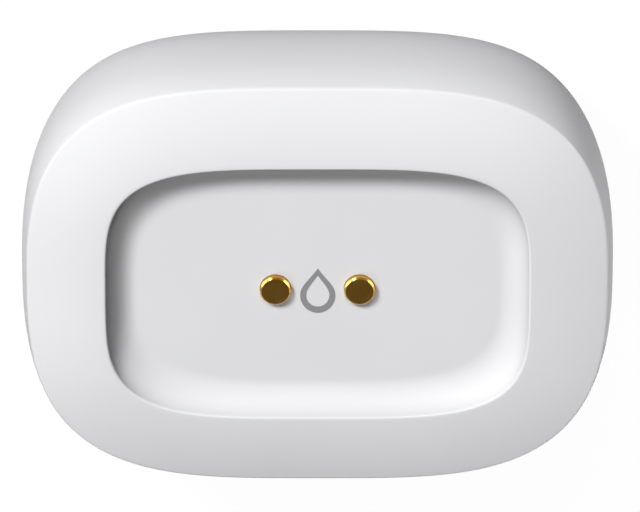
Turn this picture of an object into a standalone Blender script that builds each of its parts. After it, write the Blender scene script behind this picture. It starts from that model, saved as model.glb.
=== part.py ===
"""Battery powered water leak sensor, lying on the floor with its drip tray upwards.

Sizes are in metres. The origin is on the floor under the middle of the sensor, +X runs along its length
and +Y is the side that the tip of the drop symbol points to.
"""

import math

import bmesh
import bpy

MM = 0.001

# Outer form of the housing, whose outline is drawn round the battery bay with this much room to spare
END_ROOM = 6.2 * MM
SIDE_ROOM = 0.1 * MM
SIDE_POWER_X = 3.6
SIDE_POWER_Y = 2.7
WIDEST_HEIGHT = 11.3 * MM
CREASE_DROP = 1.7 * MM
CREASE_INSET = 0.52 * MM
CROWN_START = 0.4
BASE_INSET = 3.1 * MM
PARTING_HEIGHT = 1.9 * MM
PARTING_GAP = 0.3 * MM
WALL = 1.6 * MM
CAVITY_INSET = 3.4 * MM
CAVITY_DRAFT = 0.2 * MM

# Drip tray sunk into the face
TRAY_LENGTH = 37.5 * MM
TRAY_DEPTH = 24.95 * MM
TRAY_POWER = 4.0
TRAY_FLOOR_POWER = 3.5
TRAY_SINK = 2.2 * MM
TRAY_WALL_SLOPE = math.radians(76)
TRAY_EDGE_RADIUS = 0.2 * MM

# Stack of thicknesses from the floor up to the tray
PROBE_STANDOFF = 0.7 * MM
BASE_THICKNESS = 1.8 * MM
DOOR_SINK = 0.1 * MM
DOOR_DISC = 1.8 * MM
DOOR_FIT = 0.2 * MM
LEDGE_THICKNESS = 0.7 * MM
LUG_THICKNESS = 0.6 * MM
CELL_SEAT = 0.25 * MM
CELL_THICKNESS = 5.0 * MM
CONTACT_ROOM = 1.0 * MM
BOARD_THICKNESS = 0.8 * MM
COMPONENT_ROOM = 2.0 * MM

# Clearances
FIT = 0.1 * MM
SEAT = 0.3 * MM

# Coin cell, its holder and its door
CELL_RADIUS = 12.25 * MM
CELL_STEP = 1.4 * MM
HOLDER_WALL = 0.9 * MM
HOLDER_FLANGE = 1.0 * MM
LEDGE_OVERLAP = 1.5 * MM
LUG_REACH = 1.1 * MM
LUG_COUNT = 3
LUG_ANGLE = math.radians(24)
LUG_NOTCH_ANGLE = math.radians(30)
DOOR_TURN = math.radians(45)
COLLAR_WALL = 1.4 * MM
SEAL_WIRE = 0.7 * MM
COIN_SLOT_LENGTH = 13.0 * MM
COIN_SLOT_WIDTH = 1.9 * MM
COIN_SLOT_SINK = 0.9 * MM

# Probes for water on the tray and on the floor
DRIP_PROBE_SPACING = 7.4 * MM
DRIP_PROBE_LINE = -0.55 * MM
DRIP_PROBE_RADIUS = 1.36 * MM
DRIP_PROBE_STAND = 0.6 * MM
FLOOR_PROBE_SHARE = 0.2
FLOOR_PROBE_EDGE = 7.7 * MM
FLOOR_PROBE_RADIUS = 1.5 * MM
PROBE_EDGE = 0.2 * MM
PROBE_CHAMFER = 0.13 * MM
PROBE_FLANGE = 0.65 * MM
PROBE_FLANGE_THICKNESS = 0.5 * MM
PROBE_SEAL_WIRE = 0.5 * MM
PROBE_STUB = 0.5 * MM
SPRING_WIRE = 0.36 * MM
SPRING_TURNS = 4

# Screws, bosses and the spigot of the base
SCREW_SHARE = 0.55
SCREW_EDGE = 7.4 * MM
SCREW_RADIUS = 0.9 * MM
SCREW_LENGTH = 7.5 * MM
SCREW_HEAD_RADIUS = 1.6 * MM
SCREW_HEAD_HEIGHT = 1.2 * MM
SCREW_SINK = 0.3 * MM
BOSS_WALL = 1.4 * MM
SHOULDER_WIDTH = 0.9 * MM
SPIGOT_HEIGHT = 2.7 * MM
SPIGOT_WALL = 1.8 * MM
GASKET_DEPTH = 0.8 * MM
GASKET_HEIGHT = 1.0 * MM
GASKET_LIFT = 0.4 * MM

# Circuit board and what is soldered to it
BOARD_INSET = 4.1 * MM
SHEET_METAL = 0.2 * MM
ANTENNA_MARGIN = 1.2 * MM
ANTENNA_LENGTH = 9.0 * MM
ANTENNA_WIDTH = 1.2 * MM
ANTENNA_HEIGHT = 1.0 * MM
MODULE_GAP = 0.9 * MM
MODULE_LENGTH = 12.0 * MM
MODULE_WIDTH = 10.0 * MM
MODULE_THICKNESS = 0.4 * MM
SHIELD_LENGTH = 8.6 * MM
SHIELD_HEIGHT = 1.0 * MM
SHIELD_EDGE = 0.7 * MM
CLIP_WIDTH = 5.0 * MM
LEAF_WIDTH = 3.6 * MM
LEAF_FOOT = 4.0 * MM
LEAF_SPAN = 7.0 * MM
LEAF_LIP = 1.2 * MM
SWITCH_X = 8.0 * MM
SWITCH_LENGTH = 3.2 * MM
SWITCH_WIDTH = 2.6 * MM
SWITCH_HEIGHT = 0.5 * MM
BUTTON_RADIUS = 0.7 * MM
BUTTON_TRAVEL = 0.25 * MM

# Length, width and height in millimetres, then the place on the board as shares of its half length and
# half width
CHIPS = {
    "controller_chip": ((5.0, 5.0, 0.9), (0.50, -0.30)),
    "memory_chip": ((3.0, 2.0, 0.7), (0.50, 0.04)),
    "sensing_amplifier": ((2.8, 2.8, 0.9), (0.25, 0.31)),
    "temperature_sensor": ((2.0, 2.0, 0.7), (0.90, 0.16)),
    "input_diode": ((2.6, 1.6, 1.0), (-0.28, 0.54)),
}
CAN_PARTS = {"clock_crystal": ((3.2, 2.5, 0.8), (0.28, -0.65))}
CERAMIC_PARTS = {
    "status_led": ((1.6, 0.8, 0.6), (0.0, -0.52)),
    "smoothing_capacitor": ((3.2, 1.6, 1.5), (0.0, 0.46)),
    "voltage_inductor": ((2.5, 2.0, 1.2), (0.27, 0.58)),
}

RING_STEPS = 14
LARGE_STEPS = 40
SMALL_STEPS = 16

BODY_COLOUR = (0.86, 0.86, 0.87)
GOLD_COLOUR = (0.62, 0.42, 0.12)
RUBBER_COLOUR = (0.05, 0.05, 0.05)
STEEL_COLOUR = (0.60, 0.60, 0.62)
BOARD_COLOUR = (0.02, 0.16, 0.07)
CHIP_COLOUR = (0.03, 0.03, 0.035)
CERAMIC_COLOUR = (0.55, 0.45, 0.32)

# Heights that follow from the stack
base_bottom = PROBE_STANDOFF
base_floor = base_bottom + BASE_THICKNESS
door_bottom = base_bottom + DOOR_SINK
disc_top = door_bottom + DOOR_DISC
ledge_bottom = disc_top + DOOR_FIT
ledge_top = ledge_bottom + LEDGE_THICKNESS
lug_bottom = ledge_top + DOOR_FIT
door_top = lug_bottom + LUG_THICKNESS
cell_bottom = door_top + CELL_SEAT
cell_top = cell_bottom + CELL_THICKNESS
board_bottom = cell_top + CONTACT_ROOM
board_top = board_bottom + BOARD_THICKNESS
ceiling = board_top + COMPONENT_ROOM
tray_floor = ceiling + WALL
rim_top = tray_floor + TRAY_SINK
crease_height = rim_top - CREASE_DROP
spigot_top = PARTING_HEIGHT + SPIGOT_HEIGHT

# Radii of the door and of the opening that it closes
neck_radius = CELL_RADIUS + FIT
ledge_radius = neck_radius + DOOR_FIT
bore_radius = ledge_radius + LEDGE_OVERLAP
disc_radius = bore_radius - SEAT
lug_radius = neck_radius + LUG_REACH
notch_radius = lug_radius + DOOR_FIT
collar_radius = bore_radius + COLLAR_WALL

# The outline, from the battery bay outwards: collar, gasket groove, spare room
groove_inset = CAVITY_INSET + FIT + GASKET_DEPTH + FIT
half_length = collar_radius + END_ROOM + groove_inset
half_depth = collar_radius + SIDE_ROOM + groove_inset


def start_scene():
    """Removes what the scene holds and makes the two collections."""
    for thing in list(bpy.data.objects):
        bpy.data.objects.remove(thing)
    for title in ("water_leak_sensor", "cutters"):
        collection = bpy.data.collections.new(title)
        bpy.context.scene.collection.children.link(collection)


def file_in(thing, title):
    """Moves an object into one of the two collections."""
    for collection in list(thing.users_collection):
        collection.objects.unlink(thing)
    bpy.data.collections[title].objects.link(thing)


def material(name, colour, roughness, metallic=0.0):
    """A Principled material, made once for each name."""
    found = bpy.data.materials.get(name)
    if found:
        return found
    made = bpy.data.materials.new(name)
    made.use_nodes = True
    shader = made.node_tree.nodes["Principled BSDF"]
    shader.inputs["Base Color"].default_value = (*colour, 1.0)
    shader.inputs["Roughness"].default_value = roughness
    shader.inputs["Metallic"].default_value = metallic
    return made


def white_plastic():
    return material("white_plastic", BODY_COLOUR, 0.45)


def black_plastic():
    return material("black_plastic", CHIP_COLOUR, 0.5)


def gold_plate():
    return material("gold_plate", GOLD_COLOUR, 0.25, 1.0)


def steel():
    return material("steel", STEEL_COLOUR, 0.3, 1.0)


def rubber():
    return material("silicone_rubber", RUBBER_COLOUR, 0.7)


def board_laminate():
    return material("board_laminate", BOARD_COLOUR, 0.5)


def ceramic():
    return material("ceramic", CERAMIC_COLOUR, 0.5)


def finish(thing, finish_material, smooth=40):
    """Gives an object its material, shading and collection."""
    thing.data.materials.clear()
    thing.data.materials.append(finish_material)
    if thing.type == "MESH":
        thing.data.shade_smooth()
        thing.data.set_sharp_from_angle(angle=math.radians(smooth))
    file_in(thing, "water_leak_sensor")
    return thing


def hide(thing):
    """Marks an object as a helper that only cuts or joins."""
    file_in(thing, "cutters")
    thing.hide_render = True
    thing.display_type = "WIRE"
    return thing


def combine(thing, operation, tools):
    """Adds one Boolean modifier for each tool."""
    for tool in tools:
        hide(tool)
        step = thing.modifiers.new(f"{operation.lower()}_{tool.name}", "BOOLEAN")
        step.operation = operation
        step.object = tool
    return thing


def cut(thing, *tools):
    return combine(thing, "DIFFERENCE", tools)


def join(thing, *tools):
    return combine(thing, "UNION", tools)


def mesh_object(name, mesh):
    """An object from a finished bmesh."""
    data = bpy.data.meshes.new(name)
    bmesh.ops.recalc_face_normals(mesh, faces=mesh.faces)
    mesh.to_mesh(data)
    mesh.free()
    thing = bpy.data.objects.new(name, data)
    bpy.context.scene.collection.objects.link(thing)
    return thing


def cylinder(name, radius, bottom, top, x=0.0, y=0.0, steps=SMALL_STEPS):
    bpy.ops.mesh.primitive_cylinder_add(
        vertices=steps, radius=radius, depth=top - bottom, location=(x, y, (bottom + top) / 2)
    )
    thing = bpy.context.object
    thing.name = name
    return thing


def block(name, size, centre, turn=0.0):
    """A box with its scale applied, so that a bevel stays even."""
    bpy.ops.mesh.primitive_cube_add(size=1.0, location=centre)
    thing = bpy.context.object
    thing.name = name
    thing.scale = size
    bpy.ops.object.transform_apply(location=False, rotation=False, scale=True)
    thing.rotation_euler.z = turn
    return thing


def bevel(thing, width, segments=2):
    step = thing.modifiers.new("edges", "BEVEL")
    step.width = width
    step.segments = segments
    step.limit_method = "ANGLE"
    step.angle_limit = math.radians(40)
    return thing


def turned(name, profile, x=0.0, y=0.0, steps=SMALL_STEPS, closed=False):
    """A lathe part: the profile is (radius, height) pairs, down its outer side."""
    data = bpy.data.meshes.new(name)
    points = [(radius, 0.0, height) for radius, height in profile]
    edges = [(i, i + 1) for i in range(len(points) - 1)]
    if closed:
        edges.append((len(points) - 1, 0))
    data.from_pydata(points, edges, [])
    thing = bpy.data.objects.new(name, data)
    bpy.context.scene.collection.objects.link(thing)
    thing.location = (x, y, 0.0)
    lathe = thing.modifiers.new("lathe", "SCREW")
    lathe.steps = steps
    lathe.render_steps = steps
    lathe.use_merge_vertices = True
    lathe.merge_threshold = 0.00001
    lathe.use_smooth_shade = True
    return thing


def strip(name, path, thickness, width, x=0.0, y=0.0, turn=0.0):
    """Sheet metal bent along a path of (along, height) points and given a thickness."""
    mesh = bmesh.new()
    rows = []
    for side in (-0.5, 0.5):
        rows.append([mesh.verts.new((along, side * width, height)) for along, height in path])
    for i in range(len(path) - 1):
        mesh.faces.new((rows[0][i], rows[0][i + 1], rows[1][i + 1], rows[1][i]))
    thing = mesh_object(name, mesh)
    thing.location = (x, y, 0.0)
    thing.rotation_euler.z = turn
    sheet = thing.modifiers.new("sheet", "SOLIDIFY")
    sheet.thickness = thickness
    sheet.offset = 0.0
    sheet.use_even_offset = True
    return thing


def coil(name, radius, wire, bottom, top, turns, x, y):
    """A compression spring whose wire stays between two heights."""
    points_per_turn = 7
    count = round(turns * points_per_turn) + 1
    low = bottom + wire / 2
    high = top - wire / 2
    data = bpy.data.curves.new(name, "CURVE")
    data.dimensions = "3D"
    data.bevel_depth = wire / 2
    data.bevel_resolution = 1
    data.use_fill_caps = True
    spline = data.splines.new("POLY")
    spline.points.add(count - 1)
    for i, point in enumerate(spline.points):
        share = i / (count - 1)
        angle = share * turns * math.tau
        height = low + (high - low) * share
        point.co = (radius * math.cos(angle), radius * math.sin(angle), height, 1.0)
    thing = bpy.data.objects.new(name, data)
    bpy.context.scene.collection.objects.link(thing)
    thing.location = (x, y, 0.0)
    return thing


def quarter_points(half_x, half_y, power_x, power_y, inset, shares):
    """Points at stated shares of a quarter of |x/a|^m + |y/b|^n = 1, moved inwards by inset."""
    samples = 60 * RING_STEPS
    dense = []
    for i in range(samples + 1):
        angle = 0.5 * math.pi * i / samples
        across = max(math.cos(angle), 0.0) ** (2 / power_x)
        along = math.sin(angle) ** (2 / power_y)
        dense.append((half_x * across, half_y * along))
    lengths = [0.0]
    for before, after in zip(dense, dense[1:]):
        lengths.append(lengths[-1] + math.dist(before, after))
    quarter = []
    place = 0
    for share_of_all in shares:
        wanted = lengths[-1] * share_of_all
        while place < samples - 1 and lengths[place + 1] < wanted:
            place += 1
        share = (wanted - lengths[place]) / (lengths[place + 1] - lengths[place])
        x = dense[place][0] + share * (dense[place + 1][0] - dense[place][0])
        y = dense[place][1] + share * (dense[place + 1][1] - dense[place][1])
        normal_x = power_x / half_x * (x / half_x) ** (power_x - 1)
        normal_y = power_y / half_y * (y / half_y) ** (power_y - 1)
        size = math.hypot(normal_x, normal_y)
        quarter.append((x - inset * normal_x / size, y - inset * normal_y / size))
    return quarter


def squircle(half_x, half_y, power_x, power_y, inset=0.0):
    """Evenly spaced points all the way round, starting on +X."""
    shares = [i / RING_STEPS for i in range(RING_STEPS + 1)]
    quarter = quarter_points(half_x, half_y, power_x, power_y, inset, shares)
    ring = quarter[:-1]
    ring += [(-x, y) for x, y in quarter[:0:-1]]
    ring += [(-x, -y) for x, y in quarter[:-1]]
    ring += [(x, -y) for x, y in quarter[:0:-1]]
    return ring


def body_ring(inset, height):
    """The housing's outline, a stated distance inside its widest line."""
    outline = squircle(half_length, half_depth, SIDE_POWER_X, SIDE_POWER_Y, inset)
    return [(x, y, height) for x, y in outline]


def tray_ring(inset, height, power=TRAY_POWER):
    """The tray's outline, smaller or larger by a stated distance."""
    outline = squircle(TRAY_LENGTH / 2 - inset, TRAY_DEPTH / 2 - inset, power, power)
    return [(x, y, height) for x, y in outline]


def between(first, second, share, height):
    """A ring part of the way from one ring to another."""
    return [
        (a[0] + share * (b[0] - a[0]), a[1] + share * (b[1] - a[1]), height)
        for a, b in zip(first, second)
    ]


def loft(name, rings, closed=False):
    """A solid skin through rings of matching points, capped at its two ends unless it closes on itself."""
    mesh = bmesh.new()
    loops = [[mesh.verts.new(point) for point in ring] for ring in rings]
    pairs = list(zip(loops, loops[1:]))
    if closed:
        pairs.append((loops[-1], loops[0]))
    for lower, upper in pairs:
        for i in range(len(lower)):
            mesh.faces.new((lower[i - 1], lower[i], upper[i], upper[i - 1]))
    if not closed:
        mesh.faces.new(loops[0])
        mesh.faces.new(loops[-1])
    return mesh_object(name, mesh)


def side_inset(height):
    """How far the outer wall lies inside the widest line at a height."""
    if height >= WIDEST_HEIGHT:
        share = (height - WIDEST_HEIGHT) / (crease_height - WIDEST_HEIGHT)
        return CREASE_INSET * share**2
    sine = (WIDEST_HEIGHT - height) / (WIDEST_HEIGHT - base_bottom)
    return BASE_INSET * (1 - math.sqrt(1 - min(sine, 1.0) ** 2))


def lower_wall(low_angle, high_angle, steps):
    """(inset, height) pairs down the rounded lower wall, by angle on its ellipse."""
    reach = WIDEST_HEIGHT - base_bottom
    pairs = []
    for i in range(steps + 1):
        angle = low_angle + (high_angle - low_angle) * i / steps
        pairs.append((BASE_INSET * (1 - math.cos(angle)), WIDEST_HEIGHT - reach * math.sin(angle)))
    return pairs


def wall_angle(height):
    """The angle on the lower wall's ellipse at a height."""
    return math.asin((WIDEST_HEIGHT - height) / (WIDEST_HEIGHT - base_bottom))


def four_corners(share, inset):
    """Names and places of four like pieces, at a share of each quarter and inside the outline."""
    power_x, power_y = SIDE_POWER_X, SIDE_POWER_Y
    x, y = quarter_points(half_length, half_depth, power_x, power_y, inset, [share])[0]
    return [
        ("front_left", -x, -y),
        ("front_right", x, -y),
        ("rear_left", -x, y),
        ("rear_right", x, y),
    ]


def tray_profile():
    """Rings from the tray's floor up its fillet and over the rounded edge."""
    edge_sink = TRAY_EDGE_RADIUS * (1 - math.cos(TRAY_WALL_SLOPE))
    fillet = (TRAY_SINK - edge_sink) / (1 - math.cos(TRAY_WALL_SLOPE))
    edge_run = TRAY_EDGE_RADIUS * math.sin(TRAY_WALL_SLOPE)
    whole_run = edge_run + fillet * math.sin(TRAY_WALL_SLOPE)
    rings = []
    fillet_steps = 5
    for i in range(fillet_steps + 1):
        angle = TRAY_WALL_SLOPE * i / fillet_steps
        inset = whole_run - fillet * math.sin(angle)
        height = tray_floor + fillet * (1 - math.cos(angle))
        power = TRAY_POWER + (TRAY_FLOOR_POWER - TRAY_POWER) * inset / whole_run
        rings.append(tray_ring(inset, height, power))
    edge_steps = 3
    for i in range(1, edge_steps + 1):
        angle = TRAY_WALL_SLOPE * (1 - i / edge_steps)
        inset = TRAY_EDGE_RADIUS * math.sin(angle)
        power = TRAY_POWER + (TRAY_FLOOR_POWER - TRAY_POWER) * inset / whole_run
        rings.append(tray_ring(inset, rim_top - TRAY_EDGE_RADIUS * (1 - math.cos(angle)), power))
    return rings


def make_top_housing():
    """One moulded shell: tray, crowned rim, side wall and the hollow for the works."""
    rings = tray_profile()
    inner = tray_ring(0.0, rim_top)
    outer = body_ring(CREASE_INSET, crease_height)
    crown_steps = 4
    for i in range(1, crown_steps + 1):
        share = i / crown_steps
        drop = CREASE_DROP * (CROWN_START * share + (1 - CROWN_START) * share**2)
        rings.append(between(inner, outer, share, rim_top - drop))
    wall_steps = 2
    for i in range(1, wall_steps):
        height = crease_height + (WIDEST_HEIGHT - crease_height) * i / wall_steps
        rings.append(body_ring(side_inset(height), height))
    for inset, height in lower_wall(0.0, wall_angle(PARTING_HEIGHT), 5):
        rings.append(body_ring(inset, height))
    rings.append(body_ring(CAVITY_INSET, PARTING_HEIGHT))
    rings.append(body_ring(CAVITY_INSET + CAVITY_DRAFT, ceiling))
    shell = loft("top_housing", rings)
    boss_bottom = spigot_top + SEAT
    boss_top = (tray_floor + ceiling) / 2
    for corner_name, x, y in four_corners(SCREW_SHARE, SCREW_EDGE):
        radius = SCREW_RADIUS + FIT + BOSS_WALL
        shoulder = radius + SHOULDER_WIDTH
        join(
            shell,
            cylinder(f"boss_{corner_name}", radius, boss_bottom, boss_top, x, y),
            cylinder(f"shoulder_{corner_name}", shoulder, board_top + FIT, boss_top, x, y),
        )
        pilot_top = boss_bottom + SCREW_LENGTH
        cut(shell, cylinder(f"pilot_{corner_name}", SCREW_RADIUS + FIT, 0.0, pilot_top, x, y))
    for side, x in (("left", -DRIP_PROBE_SPACING / 2), ("right", DRIP_PROBE_SPACING / 2)):
        hole = DRIP_PROBE_RADIUS + FIT
        tool = cylinder(f"drip_hole_{side}", hole, board_top, rim_top, x, DRIP_PROBE_LINE)
        cut(shell, tool)
    return finish(shell, white_plastic())


def make_base_cover():
    """The floor of the case: a dished plate with a spigot, a bayonet collar and screw posts."""
    plate_top = PARTING_HEIGHT - PARTING_GAP
    rings = []
    for inset, height in lower_wall(0.5 * math.pi, wall_angle(plate_top), 3):
        rings.append(body_ring(inset, height))
    spigot_out = CAVITY_INSET + SEAT
    spigot_in = spigot_out + SPIGOT_WALL
    groove_low = PARTING_HEIGHT + GASKET_LIFT
    groove_high = groove_low + GASKET_HEIGHT
    rings.append(body_ring(spigot_out, plate_top))
    rings.append(body_ring(spigot_out, groove_low))
    rings.append(body_ring(groove_inset, groove_low))
    rings.append(body_ring(groove_inset, groove_high))
    rings.append(body_ring(spigot_out, groove_high))
    rings.append(body_ring(spigot_out, spigot_top))
    rings.append(body_ring(spigot_in, spigot_top))
    rings.append(body_ring(spigot_in, base_floor))
    plate = loft("base_cover", rings)
    collar_low = (base_bottom + base_floor) / 2
    join(plate, cylinder("collar", collar_radius, collar_low, ledge_top, steps=LARGE_STEPS))
    for corner_name, x, y in four_corners(SCREW_SHARE, SCREW_EDGE):
        post = SCREW_HEAD_RADIUS + SEAT + WALL / 2
        join(plate, cylinder(f"post_{corner_name}", post, collar_low, spigot_top, x, y))
    for corner_name, x, y in four_corners(FLOOR_PROBE_SHARE, FLOOR_PROBE_EDGE):
        nest = FLOOR_PROBE_RADIUS + PROBE_FLANGE + FIT
        nest_top = base_floor + PROBE_SEAL_WIRE + PROBE_FLANGE_THICKNESS
        wall = cylinder(f"nest_{corner_name}", nest + WALL / 2, collar_low, nest_top, x, y)
        join(plate, wall)
        cut(plate, cylinder(f"nest_bore_{corner_name}", nest, base_floor, ledge_top * 2, x, y))
        hole = FLOOR_PROBE_RADIUS + FIT
        cut(plate, cylinder(f"probe_hole_{corner_name}", hole, 0.0, base_floor * 2, x, y))
    for corner_name, x, y in four_corners(SCREW_SHARE, SCREW_EDGE):
        seat_height = base_bottom + SCREW_SINK + SCREW_HEAD_HEIGHT + FIT
        head = SCREW_HEAD_RADIUS + FIT
        cut(
            plate,
            cylinder(f"head_bore_{corner_name}", head, 0.0, seat_height, x, y),
            cylinder(f"shank_bore_{corner_name}", SCREW_RADIUS + FIT, 0.0, spigot_top * 2, x, y),
        )
    cut(
        plate,
        cylinder("seal_bore", bore_radius, 0.0, ledge_bottom, steps=LARGE_STEPS),
        cylinder("ledge_bore", ledge_radius, 0.0, ledge_top * 2, steps=LARGE_STEPS),
    )
    for i in range(LUG_COUNT):
        middle = math.tau * i / LUG_COUNT + DOOR_TURN
        cut(plate, sector(f"notch_{i}", notch_radius, LUG_NOTCH_ANGLE, middle, 0.0, ledge_top * 2))
    return finish(plate, white_plastic())


def sector(name, radius, spread, middle, bottom, top):
    """A pie slice, for the bayonet lugs and the notches that let them in."""
    mesh = bmesh.new()
    steps = 5
    outline = [(0.0, 0.0)]
    for i in range(steps + 1):
        angle = middle + spread * (i / steps - 0.5)
        outline.append((radius * math.cos(angle), radius * math.sin(angle)))
    low = mesh.faces.new([mesh.verts.new((x, y, bottom)) for x, y in outline])
    raised = bmesh.ops.extrude_face_region(mesh, geom=[low])
    moved = [item for item in raised["geom"] if isinstance(item, bmesh.types.BMVert)]
    bmesh.ops.translate(mesh, verts=moved, vec=(0.0, 0.0, top - bottom))
    return mesh_object(name, mesh)


def make_base_gasket():
    """Silicone ring in the groove round the spigot, pressed against the housing."""
    low = PARTING_HEIGHT + GASKET_LIFT + FIT
    high = low + GASKET_HEIGHT - 2 * FIT
    outside = CAVITY_INSET + FIT
    chamfer = GASKET_DEPTH / 4
    middle = (low + high) / 2
    section = [
        (outside, middle),
        (outside + chamfer, low),
        (outside + GASKET_DEPTH, low),
        (outside + GASKET_DEPTH, high),
        (outside + chamfer, high),
    ]
    ring = loft("base_gasket", [body_ring(inset, height) for inset, height in section], closed=True)
    return finish(ring, rubber())


def make_battery_door():
    """Round bayonet door: a disc with a seal groove, a neck, three lugs and a coin slot."""
    seal_middle = (door_bottom + disc_top) / 2
    groove = SEAL_WIRE / 2 + FIT
    groove_radius = disc_radius + FIT - SEAL_WIRE
    edge = 2 * FIT
    profile = [
        (0.0, door_top),
        (neck_radius, door_top),
        (neck_radius, disc_top),
        (disc_radius, disc_top),
        (disc_radius, seal_middle + groove),
        (groove_radius, seal_middle + groove),
        (groove_radius, seal_middle - groove),
        (disc_radius, seal_middle - groove),
        (disc_radius, door_bottom + edge),
        (disc_radius - edge, door_bottom),
        (0.0, door_bottom),
    ]
    door = turned("battery_door", profile, steps=LARGE_STEPS)
    for i in range(LUG_COUNT):
        middle = math.tau * i / LUG_COUNT
        join(door, sector(f"lug_{i}", lug_radius, LUG_ANGLE, middle, lug_bottom, door_top))
    slot_size = (COIN_SLOT_LENGTH, COIN_SLOT_WIDTH, 2 * COIN_SLOT_SINK)
    cut(door, block("coin_slot", slot_size, (0.0, 0.0, door_bottom)))
    finish(door, white_plastic())
    bpy.ops.mesh.primitive_torus_add(
        major_segments=LARGE_STEPS,
        minor_segments=5,
        major_radius=disc_radius + 2 * FIT - SEAL_WIRE / 2,
        minor_radius=SEAL_WIRE / 2,
        location=(0.0, 0.0, seal_middle),
    )
    seal = bpy.context.object
    seal.name = "door_seal"
    finish(seal, rubber(), 80)


def make_cell_and_holder():
    """Coin cell with its stepped can, the ring that holds it, and its two spring contacts."""
    step = CELL_STEP / 4
    can = [
        (0.0, cell_top),
        (CELL_RADIUS - CELL_STEP, cell_top),
        (CELL_RADIUS - CELL_STEP, cell_top - step),
        (CELL_RADIUS, cell_top - 2 * step),
        (CELL_RADIUS, cell_bottom + step),
        (CELL_RADIUS - step, cell_bottom),
        (0.0, cell_bottom),
    ]
    finish(turned("coin_cell", can, steps=LARGE_STEPS), steel(), 30)
    inside = CELL_RADIUS + 2.5 * FIT
    outside = inside + HOLDER_WALL
    holder_bottom = cell_bottom + CELL_THICKNESS / 8
    holder_top = board_bottom - FIT
    flange_bottom = holder_top - HOLDER_WALL
    section = [
        (inside, holder_top),
        (outside + HOLDER_FLANGE, holder_top),
        (outside + HOLDER_FLANGE, flange_bottom),
        (outside, flange_bottom),
        (outside, holder_bottom),
        (inside, holder_bottom),
    ]
    holder = turned("battery_holder", section, steps=LARGE_STEPS, closed=True)
    gap_width = CLIP_WIDTH + 2 * SEAT
    gap_length = HOLDER_WALL + 2 * HOLDER_FLANGE
    gap_size = (gap_length, gap_width, 2 * CELL_THICKNESS)
    gap_middle = CELL_RADIUS + gap_length / 2
    cut(holder, block("contact_gap", gap_size, (gap_middle, 0.0, holder_top - CELL_THICKNESS)))
    finish(holder, black_plastic())
    clip_foot = board_bottom - FIT - SHEET_METAL / 2
    blade = CELL_RADIUS + FIT + SHEET_METAL / 2
    clip = [
        (blade + 2 * SHEET_METAL, cell_bottom + CELL_THICKNESS / 8),
        (blade, cell_bottom + CELL_THICKNESS / 3),
        (blade + SHEET_METAL, clip_foot),
        (outside + HOLDER_FLANGE, clip_foot),
    ]
    finish(strip("battery_contact_positive", clip, SHEET_METAL, CLIP_WIDTH), steel())
    leaf_tip = cell_top + FIT + SHEET_METAL / 2
    leaf = [
        (-LEAF_FOOT - LEAF_SPAN / 2, clip_foot),
        (-LEAF_SPAN / 2, clip_foot),
        (LEAF_SPAN / 2, leaf_tip),
        (LEAF_SPAN / 2 + LEAF_LIP, leaf_tip + SHEET_METAL),
    ]
    finish(strip("battery_contact_negative", leaf, SHEET_METAL, LEAF_WIDTH), steel())


def make_board():
    """Circuit board, cut to the hollow of the housing and held against the boss shoulders."""
    board = loft(
        "circuit_board",
        [body_ring(BOARD_INSET, board_bottom), body_ring(BOARD_INSET, board_top)],
    )
    for corner_name, x, y in four_corners(SCREW_SHARE, SCREW_EDGE):
        hole = SCREW_RADIUS + FIT + BOSS_WALL + SEAT
        cut(board, cylinder(f"board_hole_{corner_name}", hole, 0.0, rim_top, x, y))
    finish(board, board_laminate())


def make_radio():
    """Folded antenna at the left end of the board, with the shielded radio module beside it."""
    seat = board_top + FIT
    antenna_x = BOARD_INSET + ANTENNA_MARGIN + ANTENNA_WIDTH / 2 - half_length
    arm = [
        (0.0, seat),
        (0.0, seat + ANTENNA_HEIGHT),
        (ANTENNA_LENGTH, seat + ANTENNA_HEIGHT),
        (ANTENNA_LENGTH, seat + ANTENNA_HEIGHT / 3),
    ]
    start = -ANTENNA_LENGTH / 2
    turn = math.radians(90)
    antenna = strip("antenna", arm, SHEET_METAL, ANTENNA_WIDTH, antenna_x, start, turn)
    finish(antenna, gold_plate())
    module_x = antenna_x + ANTENNA_WIDTH / 2 + MODULE_GAP + MODULE_LENGTH / 2
    module_size = (MODULE_LENGTH, MODULE_WIDTH, MODULE_THICKNESS)
    module = block("radio_module_board", module_size, (module_x, 0.0, seat + MODULE_THICKNESS / 2))
    finish(module, board_laminate())
    shield_x = module_x + (MODULE_LENGTH - SHIELD_LENGTH) / 2 - SHIELD_EDGE
    shield_seat = seat + MODULE_THICKNESS + FIT
    shield_size = (SHIELD_LENGTH, MODULE_WIDTH - 2 * SHIELD_EDGE, SHIELD_HEIGHT)
    shield_middle = (shield_x, 0.0, shield_seat + SHIELD_HEIGHT / 2)
    finish(bevel(block("radio_shield", shield_size, shield_middle), SHEET_METAL), steel())


def make_board_parts(parts, part_finish):
    """Small parts soldered on top of the board, all lower than the room under the tray."""
    seat = board_top + FIT
    for name, (size, place) in parts.items():
        length, width, height = (value * MM for value in size)
        x = place[0] * (half_length - BOARD_INSET)
        y = place[1] * (half_depth - BOARD_INSET)
        part = block(name, (length, width, height), (x, y, seat + height / 2))
        finish(bevel(part, height / 8, 1), part_finish)


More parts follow.
